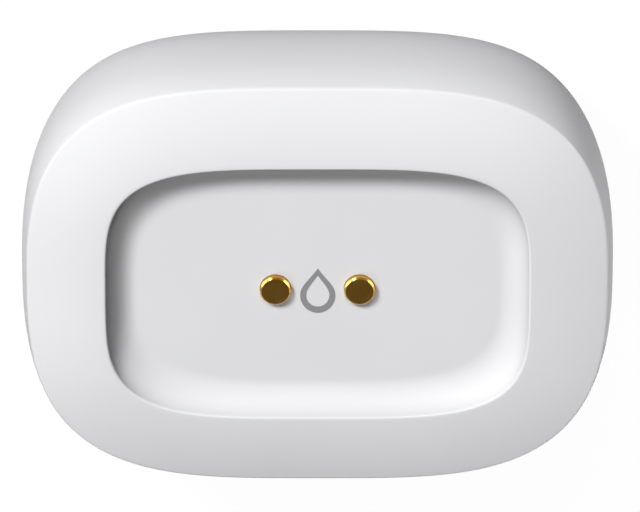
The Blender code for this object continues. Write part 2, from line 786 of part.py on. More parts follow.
def make_pairing_switch():
    """Low tact switch under the board, reached through the door once the cell is out."""
    body_top = board_bottom - FIT
    body_bottom = body_top - SWITCH_HEIGHT
    body = block(
        "pairing_switch_body",
        (SWITCH_LENGTH, SWITCH_WIDTH, SWITCH_HEIGHT),
        (SWITCH_X, 0.0, (body_top + body_bottom) / 2),
    )
    bore = BUTTON_RADIUS + FIT
    cut(body, cylinder("button_bore", bore, body_bottom - SEAT, body_top + SEAT, SWITCH_X, 0.0))
    finish(body, steel())
    button_bottom = body_bottom - BUTTON_TRAVEL
    button_top = body_top - BUTTON_TRAVEL - FIT / 2
    button = cylinder(
        "pairing_switch_button", BUTTON_RADIUS, button_bottom, button_top, SWITCH_X, 0.0
    )
    finish(button, black_plastic())


def probe_ring(name, radius, middle, x, y):
    """Small O-ring round the shank of a probe."""
    bpy.ops.mesh.primitive_torus_add(
        major_segments=SMALL_STEPS,
        minor_segments=5,
        major_radius=radius + FIT + PROBE_SEAL_WIRE / 2,
        minor_radius=PROBE_SEAL_WIRE / 2 - FIT / 2,
        location=(x, y, middle),
    )
    thing = bpy.context.object
    thing.name = name
    finish(thing, rubber(), 80)


def make_drip_probes():
    """Two gold plated pins that stand up through the tray's floor from the board, with chamfered heads."""
    flange_top = ceiling - PROBE_SEAL_WIRE
    flange_bottom = flange_top - PROBE_FLANGE_THICKNESS
    top = tray_floor + DRIP_PROBE_STAND
    radius = DRIP_PROBE_RADIUS
    profile = [
        (0.0, top),
        (radius - PROBE_CHAMFER, top),
        (radius, top - PROBE_CHAMFER),
        (radius, flange_top),
        (radius + PROBE_FLANGE, flange_top),
        (radius + PROBE_FLANGE, flange_bottom),
        (radius, flange_bottom),
        (radius, board_top + FIT),
        (0.0, board_top + FIT),
    ]
    for side, x in (("left", -DRIP_PROBE_SPACING / 2), ("right", DRIP_PROBE_SPACING / 2)):
        pin = turned(f"drip_probe_{side}", profile, x, DRIP_PROBE_LINE, steps=20)
        finish(pin, gold_plate())
        middle = ceiling - PROBE_SEAL_WIRE / 2
        probe_ring(f"drip_probe_seal_{side}", radius, middle, x, DRIP_PROBE_LINE)


def make_floor_probes():
    """Four gold plated feet that stand on the floor, each with a seal and a contact spring."""
    radius = FLOOR_PROBE_RADIUS
    flange_bottom = base_floor + PROBE_SEAL_WIRE
    flange_top = flange_bottom + PROBE_FLANGE_THICKNESS
    profile = [
        (0.0, flange_top + PROBE_STUB),
        (PROBE_STUB, flange_top + PROBE_STUB),
        (PROBE_STUB, flange_top),
        (radius + PROBE_FLANGE, flange_top),
        (radius + PROBE_FLANGE, flange_bottom),
        (radius, flange_bottom),
        (radius, PROBE_EDGE),
        (radius - 0.3 * PROBE_EDGE, 0.3 * PROBE_EDGE),
        (radius - PROBE_EDGE, 0.0),
        (0.0, 0.0),
    ]
    spring_radius = PROBE_STUB + FIT + SPRING_WIRE / 2
    for corner_name, x, y in four_corners(FLOOR_PROBE_SHARE, FLOOR_PROBE_EDGE):
        finish(turned(f"floor_probe_{corner_name}", profile, x, y), gold_plate())
        middle = base_floor + PROBE_SEAL_WIRE / 2
        probe_ring(f"floor_probe_seal_{corner_name}", radius, middle, x, y)
        spring = coil(
            f"floor_probe_spring_{corner_name}",
            spring_radius,
            SPRING_WIRE,
            flange_top + FIT,
            board_bottom - FIT,
            SPRING_TURNS,
            x,
            y,
        )
        finish(spring, gold_plate())


def make_screws():
    """Four self-tapping screws up through the base into the housing's bosses."""
    head_bottom = base_bottom + SCREW_SINK
    head_top = head_bottom + SCREW_HEAD_HEIGHT
    tip = spigot_top + SEAT + SCREW_LENGTH - SEAT
    profile = [
        (0.0, tip),
        (SCREW_RADIUS / 2, tip),
        (SCREW_RADIUS, tip - SCREW_RADIUS),
        (SCREW_RADIUS, head_top),
        (SCREW_HEAD_RADIUS, head_top),
        (SCREW_HEAD_RADIUS, head_bottom + SCREW_HEAD_HEIGHT / 4),
        (SCREW_HEAD_RADIUS - SCREW_HEAD_HEIGHT / 4, head_bottom),
        (0.0, head_bottom),
    ]
    for corner_name, x, y in four_corners(SCREW_SHARE, SCREW_EDGE):
        screw = turned(f"case_screw_{corner_name}", profile, x, y)
        arm = (1.2 * SCREW_HEAD_RADIUS, SCREW_RADIUS / 2.5, SCREW_HEAD_HEIGHT)
        for number, turn in enumerate((0.0, 0.5 * math.pi)):
            tool = block(f"recess_{corner_name}_{number}", arm, (x, y, head_bottom), turn)
            cut(screw, tool)
        finish(screw, steel())


start_scene()
make_top_housing()
make_base_cover()
make_base_gasket()
make_battery_door()
make_cell_and_holder()
make_board()
make_radio()
make_board_parts(CHIPS, black_plastic())
make_board_parts(CAN_PARTS, steel())
make_board_parts(CERAMIC_PARTS, ceramic())
make_pairing_switch()
make_drip_probes()
make_floor_probes()
make_screws()
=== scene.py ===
import math

import bmesh
import bpy
from mathutils import Matrix, Vector


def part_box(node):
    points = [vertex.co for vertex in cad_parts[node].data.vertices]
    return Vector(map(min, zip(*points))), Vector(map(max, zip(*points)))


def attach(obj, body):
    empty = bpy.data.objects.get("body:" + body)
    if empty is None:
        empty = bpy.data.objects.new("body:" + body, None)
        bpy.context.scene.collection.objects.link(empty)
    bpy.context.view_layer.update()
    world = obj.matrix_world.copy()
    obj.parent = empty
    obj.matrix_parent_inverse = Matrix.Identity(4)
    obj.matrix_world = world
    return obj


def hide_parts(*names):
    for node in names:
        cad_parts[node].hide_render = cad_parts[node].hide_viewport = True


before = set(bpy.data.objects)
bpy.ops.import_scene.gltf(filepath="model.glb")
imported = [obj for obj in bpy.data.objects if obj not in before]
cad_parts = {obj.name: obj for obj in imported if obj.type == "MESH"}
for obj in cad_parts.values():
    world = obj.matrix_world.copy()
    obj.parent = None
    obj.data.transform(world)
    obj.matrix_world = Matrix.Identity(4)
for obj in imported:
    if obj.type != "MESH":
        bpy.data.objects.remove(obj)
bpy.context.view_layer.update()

# Starting point
# The imported model is the fixed frame that every dressed piece is laid on. Its box is kept.
MM = 0.001
bpy.context.scene.view_settings.view_transform = "Standard"

# Top housing
# One injection moulding in white ABS: a crowned rim round a sunk drip tray, a crisp crease, and a side
# wall that bellies out and turns under. It is screwed down on the base from below.
AROUND = 256
FINER = 40
SIDE_POWER_X = 3.6
SIDE_POWER_Y = 2.7
WIDEST_HEIGHT = 11.3 * MM
CREASE_DROP = 1.7 * MM
CREASE_INSET = 0.52 * MM
CREASE_EDGE = 0.16 * MM
CROWN_START = 0.4
BASE_INSET = 3.1 * MM
BASE_BOTTOM = 0.7 * MM
PARTING_HEIGHT = 1.9 * MM
WALL = 1.6 * MM
CAVITY_INSET = 3.4 * MM
CAVITY_DRAFT = 0.2 * MM
SPIGOT_TOP = 4.6 * MM
BOSS_GAP = 0.3 * MM
BOSS_RADIUS = 2.4 * MM
SHOULDER_RADIUS = 3.3 * MM
PILOT_RADIUS = 1.0 * MM
PILOT_DEPTH = 7.5 * MM
FIT = 0.1 * MM
CORNERS = ("front_left", "front_right", "rear_left", "rear_right")
PIN_FLANGE = 0.65 * MM
PIN_GAP = 0.03 * MM
TRAY_LENGTH = 37.5 * MM
TRAY_DEPTH = 24.95 * MM
TRAY_POWER = 4.0
TRAY_FLOOR_POWER = 3.5
TRAY_SINK = 2.2 * MM
TRAY_WALL_SLOPE = math.radians(76)
TRAY_EDGE_RADIUS = 0.2 * MM
FILLET_STEPS = 18
EDGE_STEPS = 8
CROWN_STEPS = 20
UPPER_STEPS = 8
UNDER_STEPS = 20
CREASE_STEPS = 4
BORE_STEPS = 48
PIN_STEPS = 128
SHARP_ANGLE = math.radians(35)
WELD = 0.0005 * MM
ABS_WHITE = "#EBEBED"
ABS_WHITE_DEEP = "#E9E9EB"
GRAIN = 0.22 * MM
GRAIN_DEPTH = 0.0025 * MM
CLOUD = 14.0 * MM

housing_low, housing_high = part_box("top_housing")
half_length = (housing_high[0] - housing_low[0]) / 2
half_depth = (housing_high[1] - housing_low[1]) / 2
rim_top = housing_high[2]
crease_height = rim_top - CREASE_DROP
tray_floor = rim_top - TRAY_SINK
ceiling = tray_floor - WALL


def linear(code):
    """An sRGB hex colour as the linear red, green, blue and alpha that a shader takes."""
    channels = [int(code[i : i + 2], 16) / 255 for i in (1, 3, 5)]
    return [c / 12.92 if c <= 0.04045 else ((c + 0.055) / 1.055) ** 2.4 for c in channels] + [1.0]


def add(tree, kind, inputs=None, **settings):
    """Adds a node; inputs maps sockets to plain values or to other nodes' outputs."""
    made = tree.nodes.new(kind)
    for name, value in settings.items():
        setattr(made, name, value)
    for key, value in (inputs or {}).items():
        if isinstance(value, bpy.types.NodeSocket):
            tree.links.new(value, made.inputs[key])
        else:
            made.inputs[key].default_value = value
    return made


def surface(name, roughness, metallic=0.0, **sockets):
    """A new material with its Principled shader and a texture coordinate node."""
    made = bpy.data.materials.new(name)
    made.use_nodes = True
    tree = made.node_tree
    shader = tree.nodes["Principled BSDF"]
    shader.inputs["Roughness"].default_value = roughness
    shader.inputs["Metallic"].default_value = metallic
    for socket, value in sockets.items():
        shader.inputs[socket.replace("_", " ")].default_value = value
    return made, tree, shader, add(tree, "ShaderNodeTexCoord").outputs["Object"]


def two_tone(tree, shader, factor, low, high, start=0.35, end=0.65):
    """Colours the shader from one hex colour to another along a pattern's factor."""
    ramp = add(tree, "ShaderNodeValToRGB", {"Fac": factor})
    ramp.color_ramp.elements[0].position = start
    ramp.color_ramp.elements[1].position = end
    ramp.color_ramp.elements[0].color = linear(low)
    ramp.color_ramp.elements[1].color = linear(high)
    tree.links.new(ramp.outputs["Color"], shader.inputs["Base Color"])


def vary_roughness(tree, shader, factor, low, high):
    """Lets the roughness run between two values along a pattern's factor."""
    spread = add(tree, "ShaderNodeMapRange", {"Value": factor, "To Min": low, "To Max": high})
    tree.links.new(spread.outputs["Result"], shader.inputs["Roughness"])


def relief(tree, shader, height, depth, strength=1.0):
    """Raises the shader's surface by a pattern's height, over a real depth."""
    bump = add(tree, "ShaderNodeBump", {"Height": height, "Distance": depth, "Strength": strength})
    tree.links.new(bump.outputs["Normal"], shader.inputs["Normal"])


def noise(tree, coordinates, grain, detail=2.0):
    """A noise pattern whose features are about the given size in metres."""
    pattern = {"Vector": coordinates, "Scale": 1 / grain, "Detail": detail}
    return add(tree, "ShaderNodeTexNoise", pattern).outputs["Fac"]


def moulded_abs():
    """White ABS from a spark-eroded mould: satin, with a grain too fine to see, drawn coarser to show."""
    made, tree, shader, place = surface("moulded_white_abs", 0.6, IOR=1.5, Specular_IOR_Level=0.2)
    two_tone(tree, shader, noise(tree, place, CLOUD), ABS_WHITE_DEEP, ABS_WHITE)
    grain = noise(tree, place, GRAIN, 3.0)
    vary_roughness(tree, shader, grain, 0.56, 0.64)
    relief(tree, shader, grain, GRAIN_DEPTH)
    return made


def outline(half_x, half_y, power_x, power_y, inset=0.0):
    """Evenly spaced points on |x/a|^m + |y/b|^n = 1, moved inwards along the normal by inset."""
    quarter_steps = AROUND // 4
    samples = FINER * quarter_steps
    dense = []
    for i in range(samples + 1):
        angle = 0.5 * math.pi * i / samples
        across = max(math.cos(angle), 0.0) ** (2 / power_x)
        dense.append((half_x * across, half_y * math.sin(angle) ** (2 / power_y)))
    lengths = [0.0]
    for before, after in zip(dense, dense[1:]):
        lengths.append(lengths[-1] + math.dist(before, after))
    quarter = []
    place = 0
    for i in range(quarter_steps + 1):
        wanted = lengths[-1] * i / quarter_steps
        while place < samples - 1 and lengths[place + 1] < wanted:
            place += 1
        share = (wanted - lengths[place]) / (lengths[place + 1] - lengths[place])
        x = dense[place][0] + share * (dense[place + 1][0] - dense[place][0])
        y = dense[place][1] + share * (dense[place + 1][1] - dense[place][1])
        normal = Vector((power_x / half_x * (x / half_x) ** (power_x - 1),
                         power_y / half_y * (y / half_y) ** (power_y - 1))).normalized()
        quarter.append((x - inset * normal.x, y - inset * normal.y))
    ring = quarter[:-1]
    ring += [(-x, y) for x, y in quarter[:0:-1]]
    ring += [(-x, -y) for x, y in quarter[:-1]]
    ring += [(x, -y) for x, y in quarter[:0:-1]]
    return ring


def body_ring(inset, height):
    """The case's outline, a stated distance inside its widest line."""
    return [(x, y, height) for x, y in outline(half_length, half_depth, SIDE_POWER_X, SIDE_POWER_Y, inset)]


def tray_ring(inset, height, power=TRAY_POWER):
    """The drip tray's outline, smaller by a stated distance."""
    half_x, half_y = TRAY_LENGTH / 2 - inset, TRAY_DEPTH / 2 - inset
    return [(x, y, height) for x, y in outline(half_x, half_y, power, power)]


def side_inset(height):
    """How far the side wall lies inside its widest line above that line."""
    return CREASE_INSET * ((height - WIDEST_HEIGHT) / (crease_height - WIDEST_HEIGHT)) ** 2


def wall_angle(height):
    """The angle on the turned-under wall's ellipse at a height."""
    return math.asin((WIDEST_HEIGHT - height) / (WIDEST_HEIGHT - BASE_BOTTOM))


def turned_under(low_angle, high_angle, steps):
    """(inset, height) pairs down the turned-under wall."""
    reach = WIDEST_HEIGHT - BASE_BOTTOM
    angles = [low_angle + (high_angle - low_angle) * i / steps for i in range(steps + 1)]
    return [(BASE_INSET * (1 - math.cos(a)), WIDEST_HEIGHT - reach * math.sin(a)) for a in angles]


def tray_rings():
    """Rings from the tray's floor up its fillet and over the rounded edge of the rim."""
    edge_sink = TRAY_EDGE_RADIUS * (1 - math.cos(TRAY_WALL_SLOPE))
    fillet = (TRAY_SINK - edge_sink) / (1 - math.cos(TRAY_WALL_SLOPE))
    run = (TRAY_EDGE_RADIUS + fillet) * math.sin(TRAY_WALL_SLOPE)
    rings = [tray_ring(run + FIT, tray_floor, TRAY_FLOOR_POWER)]
    for i in range(FILLET_STEPS + 1):
        angle = TRAY_WALL_SLOPE * i / FILLET_STEPS
        inset = run - fillet * math.sin(angle)
        power = TRAY_POWER + (TRAY_FLOOR_POWER - TRAY_POWER) * inset / run
        rings.append(tray_ring(inset, tray_floor + fillet * (1 - math.cos(angle)), power))
    for i in range(1, EDGE_STEPS + 1):
        angle = TRAY_WALL_SLOPE * (1 - i / EDGE_STEPS)
        inset = TRAY_EDGE_RADIUS * math.sin(angle)
        power = TRAY_POWER + (TRAY_FLOOR_POWER - TRAY_POWER) * inset / run
        rings.append(tray_ring(inset, rim_top - TRAY_EDGE_RADIUS * (1 - math.cos(angle)), power))
    return rings


def skin(rings, soft_ring=None, soft_edge=0.0):
    """A closed skin through rings: a circle extruded from ring to ring, filled at both ends, with one ring
    bevelled if it is named."""
    mesh = bmesh.new()
    verts = bmesh.ops.create_circle(mesh, segments=len(rings[0]), radius=1.0)["verts"]
    order = {vert: i for i, vert in enumerate(verts)}
    for vert, i in order.items():
        vert.co = rings[0][i]
    loops = [list(mesh.edges)]
    for ring in rings[1:]:
        raised = bmesh.ops.extrude_edge_only(mesh, edges=loops[-1])["geom"]
        fresh = {}
        for vert in (item for item in raised if isinstance(item, bmesh.types.BMVert)):
            below = next(edge.other_vert(vert) for edge in vert.link_edges if edge.other_vert(vert) in order)
            i = order[below]
            vert.co = ring[i]
            fresh[vert] = i
        order = fresh
        loops.append([item for item in raised if isinstance(item, bmesh.types.BMEdge)
                      and all(vert in fresh for vert in item.verts)])
    bmesh.ops.edgeloop_fill(mesh, edges=loops[0])
    bmesh.ops.edgeloop_fill(mesh, edges=loops[-1])
    if soft_ring is not None:
        bmesh.ops.bevel(mesh, geom=loops[soft_ring], offset=soft_edge, segments=CREASE_STEPS,
                        profile=0.5, affect="EDGES", material=-1)
    bmesh.ops.recalc_face_normals(mesh, faces=mesh.faces)
    return mesh


def shade(data):
    """Smooth shading, broken at every crisp edge."""
    data.shade_smooth()
    data.set_sharp_from_angle(angle=SHARP_ANGLE)


def piece(name, mesh, material):
    """An object at the origin from a finished bmesh."""
    data = bpy.data.meshes.new(name)
    mesh.to_mesh(data)
    mesh.free()
    data.materials.append(material)
    shade(data)
    made = bpy.data.objects.new(name, data)
    bpy.context.scene.collection.objects.link(made)
    return made


def lathe(profile, x=0.0, y=0.0, steps=96):
    """A bmesh spun from (radius, height) pairs round the vertical axis through x and y."""
    mesh = bmesh.new()
    verts = [mesh.verts.new((x + radius, y, height)) for radius, height in profile]
    edges = [mesh.edges.new(pair) for pair in zip(verts, verts[1:])]
    bmesh.ops.spin(mesh, geom=verts + edges, cent=(x, y, 0.0), axis=(0.0, 0.0, 1.0),
                   angle=math.tau, steps=steps, use_merge=True)
    bmesh.ops.remove_doubles(mesh, verts=mesh.verts, dist=WELD)
    bmesh.ops.recalc_face_normals(mesh, faces=mesh.faces)
    return mesh


def bar(radius, low, high, x=0.0, y=0.0, steps=64):
    """A plain round bar, for bores and bosses."""
    return lathe([(0.0, low), (radius, low), (radius, high), (0.0, high)], x, y, steps)


def together(meshes):
    """Several separate bmeshes as one."""
    whole = bmesh.new()
    for mesh in meshes:
        data = bpy.data.meshes.new("part")
        mesh.to_mesh(data)
        mesh.free()
        whole.from_mesh(data)
        bpy.data.meshes.remove(data)
    return whole


def worked_out(made):
    """The mesh of an object with its modifiers, or its curve's thickness, worked out."""
    depsgraph = bpy.context.evaluated_depsgraph_get()
    return bpy.data.meshes.new_from_object(made.evaluated_get(depsgraph))


def machined(made, operation, meshes):
    """Joins shapes to a piece or cuts them out of it, and bakes the result into its mesh."""
    tool = piece("tool", together(meshes), made.data.materials[0])
    step = made.modifiers.new("machined", "BOOLEAN")
    step.operation = operation
    step.solver = "MANIFOLD"
    step.object = tool
    baked = worked_out(made)
    made.modifiers.remove(step)
    bpy.data.objects.remove(tool)
    shade(baked)
    made.data = baked


def centre(node):
    """Where the middle of a CAD node lies, seen from above."""
    low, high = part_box(node)
    return (low[0] + high[0]) / 2, (low[1] + high[1]) / 2


white_abs = moulded_abs()
rings = tray_rings()
rim_inner = tray_ring(0.0, rim_top)
rim_outer = body_ring(CREASE_INSET, crease_height)
for i in range(1, CROWN_STEPS + 1):
    share = i / CROWN_STEPS
    height = rim_top - CREASE_DROP * (CROWN_START * share + (1 - CROWN_START) * share**2)
    rings.append([(a[0] + share * (b[0] - a[0]), a[1] + share * (b[1] - a[1]), height)
                  for a, b in zip(rim_inner, rim_outer)])
crease_ring = len(rings) - 1
for i in range(1, UPPER_STEPS):
    height = crease_height + (WIDEST_HEIGHT - crease_height) * i / UPPER_STEPS
    rings.append(body_ring(side_inset(height), height))
for inset, height in turned_under(0.0, wall_angle(PARTING_HEIGHT), UNDER_STEPS):
    rings.append(body_ring(inset, height))
rings.append(body_ring(CAVITY_INSET, PARTING_HEIGHT))
rings.append(body_ring(CAVITY_INSET + CAVITY_DRAFT, ceiling))
top_housing = piece("top_housing_shell", skin(rings, crease_ring, CREASE_EDGE), white_abs)
board_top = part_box("circuit_board")[1][2]
boss_bottom = SPIGOT_TOP + BOSS_GAP
boss_top = (tray_floor + ceiling) / 2
screw_places = {corner: centre(f"case_screw_{corner}") for corner in CORNERS}
boss_profile = [(0.0, boss_bottom), (BOSS_RADIUS, boss_bottom), (BOSS_RADIUS, board_top + FIT),
                (SHOULDER_RADIUS, board_top + FIT), (SHOULDER_RADIUS, boss_top), (0.0, boss_top)]
pin_low, pin_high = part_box("drip_probe_left")
pin_radius = (pin_high[0] - pin_low[0]) / 2 - PIN_FLANGE
pin_places = {side: centre(f"drip_probe_{side}") for side in ("left", "right")}
machined(top_housing, "UNION",
         [lathe(boss_profile, *place, BORE_STEPS) for place in screw_places.values()])
machined(top_housing, "DIFFERENCE",
         [bar(PILOT_RADIUS, PARTING_HEIGHT, boss_bottom + PILOT_DEPTH, *place, BORE_STEPS)
          for place in screw_places.values()]
         + [bar(pin_radius + PIN_GAP, board_top, rim_top, *place, PIN_STEPS)
            for place in pin_places.values()])
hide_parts("top_housing")
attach(top_housing, "case")

# Drop symbol
# The usual sign for water, pad printed in grey ink on the tray's floor between the two probes. The ink is
# a film that stands a few hundredths of a millimetre proud, and its foot is sunk a little into the plastic.
INK_GREY = "#959597"
INK_DEEP = "#929294"
INK_RISE = 0.03 * MM
INK_SUNK = 0.1 * INK_RISE
ROUND_HANDLE = 0.5523
DROP_MIDDLE = (0.02 * MM, -1.2 * MM)
DROP_OUTER = {"half_width": 1.55, "below": 1.76, "above": 2.66, "belly": 0.92, "tip": 1.35, "lean": 32}
DROP_INNER = {"half_width": 1.02, "below": 1.15, "above": 1.95, "belly": 0.62, "tip": 0.95, "lean": 33}


def printed_ink():
    """Pad printing ink: flat, slightly mottled where the pad lifted off."""
    made, tree, shader, place = surface("pad_printed_ink", 0.5)
    two_tone(tree, shader, noise(tree, place, 0.3 * MM), INK_DEEP, INK_GREY)
    return made


def drop_outline(spline, sizes):
    """Four Bezier points of a drop: tip, right side, foot and left side."""
    width, below, above = (sizes[key] * MM for key in ("half_width", "below", "above"))
    belly, tip = (sizes[key] * MM for key in ("belly", "tip"))
    lean = math.radians(sizes["lean"])
    slide_x, slide_y = tip * math.sin(lean), tip * math.cos(lean)
    corners = [
        ((0.0, above), (-slide_x, above - slide_y), (slide_x, above - slide_y)),
        ((width, 0.0), (width, belly), (width, -below * ROUND_HANDLE)),
        ((0.0, -below), (width * ROUND_HANDLE, -below), (-width * ROUND_HANDLE, -below)),
        ((-width, 0.0), (-width, -below * ROUND_HANDLE), (-width, belly)),
    ]
    spline.bezier_points.add(len(corners) - 1)
    for point, (place, left, right) in zip(spline.bezier_points, corners):
        point.handle_left_type = "FREE"
        point.handle_right_type = "FREE"
        point.co = (*place, 0.0)
        point.handle_left = (*left, 0.0)
        point.handle_right = (*right, 0.0)
    spline.use_cyclic_u = True
    spline.resolution_u = 24


drop_curve = bpy.data.curves.new("drop_outline", "CURVE")
drop_curve.dimensions = "2D"
drop_curve.fill_mode = "BOTH"
drop_curve.extrude = INK_RISE / 2
for drop_sizes in (DROP_OUTER, DROP_INNER):
    drop_outline(drop_curve.splines.new("BEZIER"), drop_sizes)
drop_source = bpy.data.objects.new("drop_source", drop_curve)
bpy.context.scene.collection.objects.link(drop_source)
drop_mesh = bmesh.new()
drop_mesh.from_mesh(worked_out(drop_source))
bpy.data.objects.remove(drop_source)
bmesh.ops.remove_doubles(drop_mesh, verts=drop_mesh.verts, dist=2 * WELD)
ink_middle = tray_floor + INK_RISE / 2 - INK_SUNK
bmesh.ops.translate(drop_mesh, verts=drop_mesh.verts, vec=(*DROP_MIDDLE, ink_middle))
bmesh.ops.recalc_face_normals(drop_mesh, faces=drop_mesh.faces)
drop_symbol = piece("drop_symbol", drop_mesh, printed_ink())
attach(drop_symbol, "case")

# Drip probes
# Two turned brass pins with hard gold plating, pushed up through the tray's floor from below. The head is
# flat, with a chamfer that catches the light as a thin bright ring, and a flange seats the pin on its seal.
GOLD = "#E6B456"
GOLD_DEEP = "#DAA241"
PIN_CHAMFER = 0.13 * MM
PIN_FLANGE_THICKNESS = 0.5 * MM
PIN_SEAL = 0.5 * MM


def hard_gold():
    """Electroplated hard gold over turned brass: bright, with faint cloudiness from the plating bath."""
    made, tree, shader, place = surface("plated_hard_gold", 0.16, 1.0)
    two_tone(tree, shader, noise(tree, place, 1.2 * MM), GOLD_DEEP, GOLD)
    grain = noise(tree, place, 0.08 * MM, 3.0)
    vary_roughness(tree, shader, grain, 0.13, 0.2)
    relief(tree, shader, grain, 0.0006 * MM)
    return made


gold_plating = hard_gold()
for side, (x, y) in pin_places.items():
    low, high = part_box(f"drip_probe_{side}")
    flange_top = ceiling - PIN_SEAL
    flange_bottom = flange_top - PIN_FLANGE_THICKNESS
    pin = piece(f"drip_pin_{side}", lathe([
        (0.0, high[2]),
        (pin_radius - PIN_CHAMFER, high[2]),
        (pin_radius, high[2] - PIN_CHAMFER),
        (pin_radius, flange_top),
        (pin_radius + PIN_FLANGE, flange_top),
        (pin_radius + PIN_FLANGE, flange_bottom),
        (pin_radius, flange_bottom),
        (pin_radius, low[2]),
        (0.0, low[2]),
    ], x, y, PIN_STEPS), gold_plating)
    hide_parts(f"drip_probe_{side}")
    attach(pin, "case")

# Base cover
# The floor of the case, moulded in the same ABS: a dished plate with a spigot that centres the housing, a
# collar round the battery opening, posts for the screws and nests for the feet.
PLATE_TOP = 1.6 * MM
BASE_FLOOR = 2.5 * MM
SPIGOT_OUT = 3.7 * MM
SPIGOT_IN = 5.5 * MM
GROOVE_INSET = 4.4 * MM
GROOVE_LOW = 2.3 * MM
GROOVE_HIGH = 3.3 * MM
COLLAR_RADIUS = 15.45 * MM
COLLAR_TOP = 3.5 * MM
POST_RADIUS = 2.7 * MM
NEST_RADIUS = 2.25 * MM
NEST_WALL = 0.8 * MM
OPENING_RADIUS = 14.05 * MM
LEDGE_BOTTOM = 2.8 * MM
LEDGE_RADIUS = 12.55 * MM
NOTCH_RADIUS = 13.65 * MM
NOTCH_ANGLE = math.radians(30)
HEAD_BORE_RADIUS = 1.7 * MM
HEAD_BORE_TOP = 2.3 * MM
LUG_COUNT = 3
TURN_TO_OPEN = math.radians(45)
MARK_SINK = 0.18 * MM
MARK_SIZE = 1.3 * MM
MARK_PLACE = 15.3 * MM
MARK_ANGLE = math.radians(-90)
SOFT_EDGE = 0.15 * MM
PLATE_STEPS = 10
OPENING_STEPS = 192


def prism(points, bottom, top):
    """A closed bmesh pushed up from a flat outline."""
    mesh = bmesh.new()
    base = mesh.faces.new([mesh.verts.new((x, y, bottom)) for x, y in points])
    raised = bmesh.ops.extrude_face_region(mesh, geom=[base])
    moved = [item for item in raised["geom"] if isinstance(item, bmesh.types.BMVert)]
    bmesh.ops.translate(mesh, verts=moved, vec=(0.0, 0.0, top - bottom))
    bmesh.ops.recalc_face_normals(mesh, faces=mesh.faces)
    return mesh


def slice_outline(radius, spread, middle, steps=12):
    """A pie slice from the axis out to a radius."""
    angles = [middle + spread * (i / steps - 0.5) for i in range(steps + 1)]
    return [(0.0, 0.0)] + [(radius * math.cos(angle), radius * math.sin(angle)) for angle in angles]


def pointer(distance, angle, size):
    """A small triangle that points at the axis from a distance."""
    corners = [(distance - size / 2, 0.0), (distance + size / 2, size / 2), (distance + size / 2, -size / 2)]
    return [(x * math.cos(angle) - y * math.sin(angle), x * math.sin(angle) + y * math.cos(angle))
            for x, y in corners]


def soft_bore(radius, top, x=0.0, y=0.0, steps=96):
    """A cutter for a bore from below, with a small lead-in at its mouth."""
    return lathe([(0.0, 0.0), (radius + SOFT_EDGE, 0.0), (radius + SOFT_EDGE, BASE_BOTTOM),
                  (radius, BASE_BOTTOM + SOFT_EDGE), (radius, top), (0.0, top)], x, y, steps)


base_rings = [body_ring(inset, height)
              for inset, height in turned_under(0.5 * math.pi, wall_angle(PLATE_TOP), PLATE_STEPS)]
base_rings += [body_ring(inset, height) for inset, height in (
    (SPIGOT_OUT, PLATE_TOP), (SPIGOT_OUT, GROOVE_LOW), (GROOVE_INSET, GROOVE_LOW),
    (GROOVE_INSET, GROOVE_HIGH), (SPIGOT_OUT, GROOVE_HIGH), (SPIGOT_OUT, SPIGOT_TOP),
    (SPIGOT_IN, SPIGOT_TOP), (SPIGOT_IN, BASE_FLOOR))]
base_cover = piece("base_shell", skin(base_rings), white_abs)
foot_places = {corner: centre(f"floor_probe_{corner}") for corner in CORNERS}
foot_low, foot_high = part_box("floor_probe_front_left")
foot_radius = (foot_high[0] - foot_low[0]) / 2 - PIN_FLANGE
machined(base_cover, "UNION", [bar(COLLAR_RADIUS, PLATE_TOP, COLLAR_TOP, steps=OPENING_STEPS)])
machined(base_cover, "UNION",
         [bar(POST_RADIUS, PLATE_TOP, SPIGOT_TOP, *place) for place in screw_places.values()])
machined(base_cover, "UNION",
         [bar(NEST_RADIUS + NEST_WALL, PLATE_TOP, COLLAR_TOP, *place) for place in foot_places.values()])
machined(base_cover, "DIFFERENCE",
         [bar(NEST_RADIUS, BASE_FLOOR, 2 * COLLAR_TOP, *place) for place in foot_places.values()])
machined(base_cover, "DIFFERENCE",
         [soft_bore(foot_radius + FIT, 2 * BASE_FLOOR, *place) for place in foot_places.values()]
         + [soft_bore(HEAD_BORE_RADIUS, HEAD_BORE_TOP, *place) for place in screw_places.values()])
machined(base_cover, "DIFFERENCE",
         [bar(PILOT_RADIUS, 0.0, 2 * SPIGOT_TOP, *place) for place in screw_places.values()]
         + [soft_bore(OPENING_RADIUS, LEDGE_BOTTOM, steps=OPENING_STEPS)])
machined(base_cover, "DIFFERENCE", [bar(LEDGE_RADIUS, 0.0, 2 * COLLAR_TOP, steps=OPENING_STEPS)])
machined(base_cover, "DIFFERENCE",
         [prism(slice_outline(NOTCH_RADIUS, NOTCH_ANGLE, math.tau * i / LUG_COUNT + TURN_TO_OPEN),
                0.0, 2 * COLLAR_TOP) for i in range(LUG_COUNT)])
machined(base_cover, "DIFFERENCE",
         [prism(pointer(MARK_PLACE, MARK_ANGLE + turn, MARK_SIZE), 0.0, BASE_BOTTOM + MARK_SINK)
          for turn in (0.0, TURN_TO_OPEN)])
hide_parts("base_cover")
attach(base_cover, "case")

# Seals
# The gasket between the two halves, the door's ring and the small rings round the probes are moulded
# silicone: dull, nearly black, with a fine matt skin.
SILICONE = "#3A3B3D"
SILICONE_DEEP = "#303133"


def dress(material, nodes):
    """Gives CAD nodes that keep their shape a finish."""
    for node in nodes:
        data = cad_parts[node].data
        data.materials.clear()
        data.materials.append(material)


